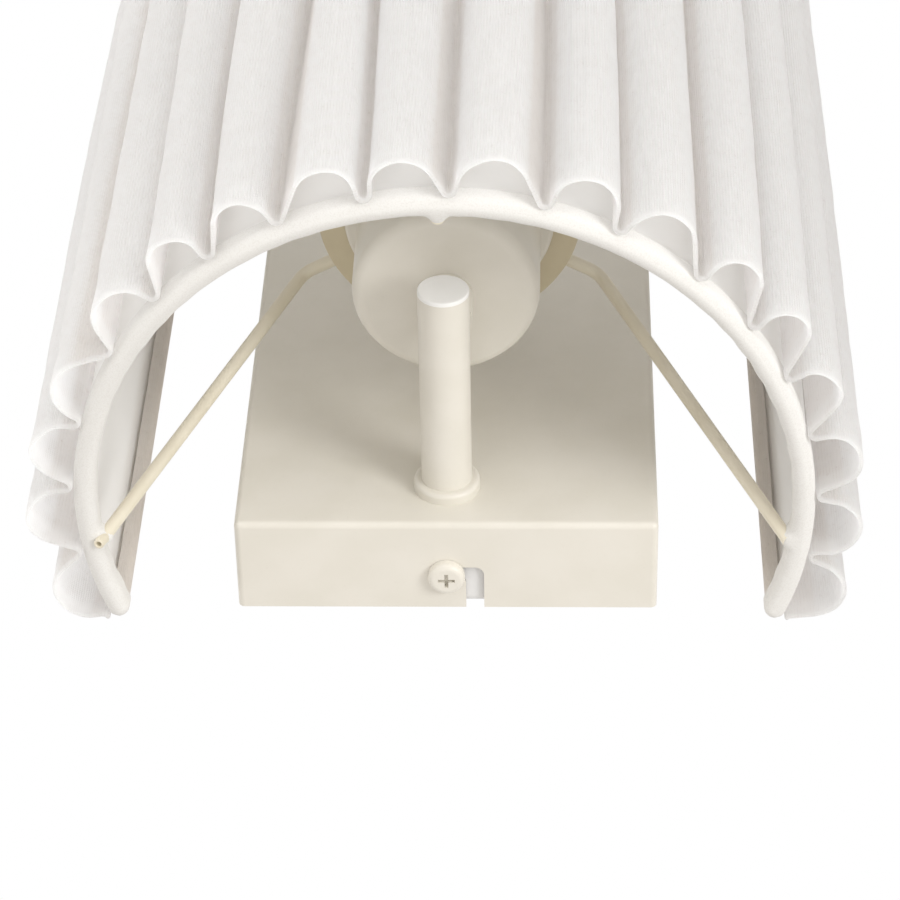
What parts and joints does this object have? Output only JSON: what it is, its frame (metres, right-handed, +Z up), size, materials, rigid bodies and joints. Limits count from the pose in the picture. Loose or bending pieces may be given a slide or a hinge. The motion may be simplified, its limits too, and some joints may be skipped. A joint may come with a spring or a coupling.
{
  "type": "wall light",
  "caption": "Wall light with a half-round pleated fabric shade on a wire carrier, an upright lampholder cup on a short post and a shallow steel backplate.",
  "frame": {"origin": "centre of the wall bracket's back face, on the wall", "axes": "+Y into the wall, -Y towards the room, +Z up, +X to the right of someone who faces the wall"},
  "size_m": [0.1938, 0.1325, 0.22],
  "materials": {
    "cream_paint": "satin",
    "strap_paint": "satin",
    "wire_paint": "satin",
    "plated_steel": "satin",
    "cover_cloth": "matt slubbed weave",
    "edge_cloth": "matt",
    "liner_film": "satin",
    "holder_plastic": "satin",
    "insulation": "matt",
    "contact_brass": "satin",
    "live_sleeve": "satin",
    "neutral_sleeve": "satin",
    "earth_sleeve": "satin"
  },
  "bodies": {
    "bracket": {"wall_bracket": "strap_paint", "earth_washer": "plated_steel", "earth_screw": "plated_steel"},
    "cover_screw_bottom": {"cover_screw_bottom": "cream_paint"},
    "cover_screw_top": {"cover_screw_top": "cream_paint"},
    "cover": {"backplate_cover": "cream_paint", "post_collar": "cream_paint", "post_tube": "cream_paint", "post_end_cap": "cream_paint", "post_lock_washer": "plated_steel", "post_nut": "plated_steel", "cup_neck": "cream_paint", "cup_nipple": "plated_steel", "lampholder_cup": "cream_paint", "cup_washer": "plated_steel", "cup_nut": "plated_steel", "lampholder_body": "holder_plastic", "contact_carrier": "insulation", "shell_contact": "contact_brass", "live_terminal": "contact_brass", "neutral_terminal": "contact_brass", "tongue_seat": "contact_brass", "terminal_block": "insulation", "terminal_tubes": "contact_brass", "terminal_screws": "plated_steel", "block_stud": "plated_steel", "block_nut": "plated_steel", "cover_earth_stud": "plated_steel", "cover_earth_tag": "plated_steel", "cover_earth_nut": "plated_steel", "lead_live": "live_sleeve", "lead_neutral": "neutral_sleeve", "lead_earth": "earth_sleeve"},
    "centre_contact": {"tongue_contact": "contact_brass"},
    "shade_ring": {"shade_ring": "holder_plastic"},
    "shade": {"spider_ring": "wire_paint", "spider_arm_left": "wire_paint", "spider_arm_right": "wire_paint", "spider_arm_front": "wire_paint", "rim_wire_lower": "wire_paint", "rim_wire_upper": "wire_paint", "frame_upright_left": "wire_paint", "frame_upright_right": "wire_paint", "shade_liner": "liner_film", "rim_tape_lower": "edge_cloth", "rim_tape_upper": "edge_cloth", "edge_strip_left": "edge_cloth", "edge_strip_right": "edge_cloth", "pleated_cover": "cover_cloth"}
  },
  "joints": [
    {"name": "cover_slide", "type": "slide", "parent": "bracket", "child": "cover", "axis": [1, 0, 0], "range_m": [-0.0067, 0]},
    {"name": "cover_screw_bottom_turn", "type": "hinge", "parent": "bracket", "child": "cover_screw_bottom", "pos_m": [0, -0.0099, -0.101], "axis": [0, 0, -1], "continuous": true},
    {"name": "cover_screw_top_turn", "type": "hinge", "parent": "bracket", "child": "cover_screw_top", "pos_m": [0, -0.0099, 0.101], "axis": [0, 0, 1], "continuous": true},
    {"name": "shade_swivel", "type": "hinge", "parent": "cover", "child": "shade", "pos_m": [0, -0.0695, -0.035], "axis": [0, 0, 1], "range_deg": [-2, 2]},
    {"name": "shade_ring_turn", "type": "hinge", "parent": "cover", "child": "shade_ring", "pos_m": [0, -0.0695, -0.029], "axis": [0, 0, 1], "continuous": true},
    {"name": "contact_flex", "type": "hinge", "parent": "cover", "child": "centre_contact", "pos_m": [0.0086, -0.0695, -0.0437], "axis": [0, 1, 0], "range_deg": [-12, 0], "stiffness_Nm_per_rad": 0.05}
  ]
}
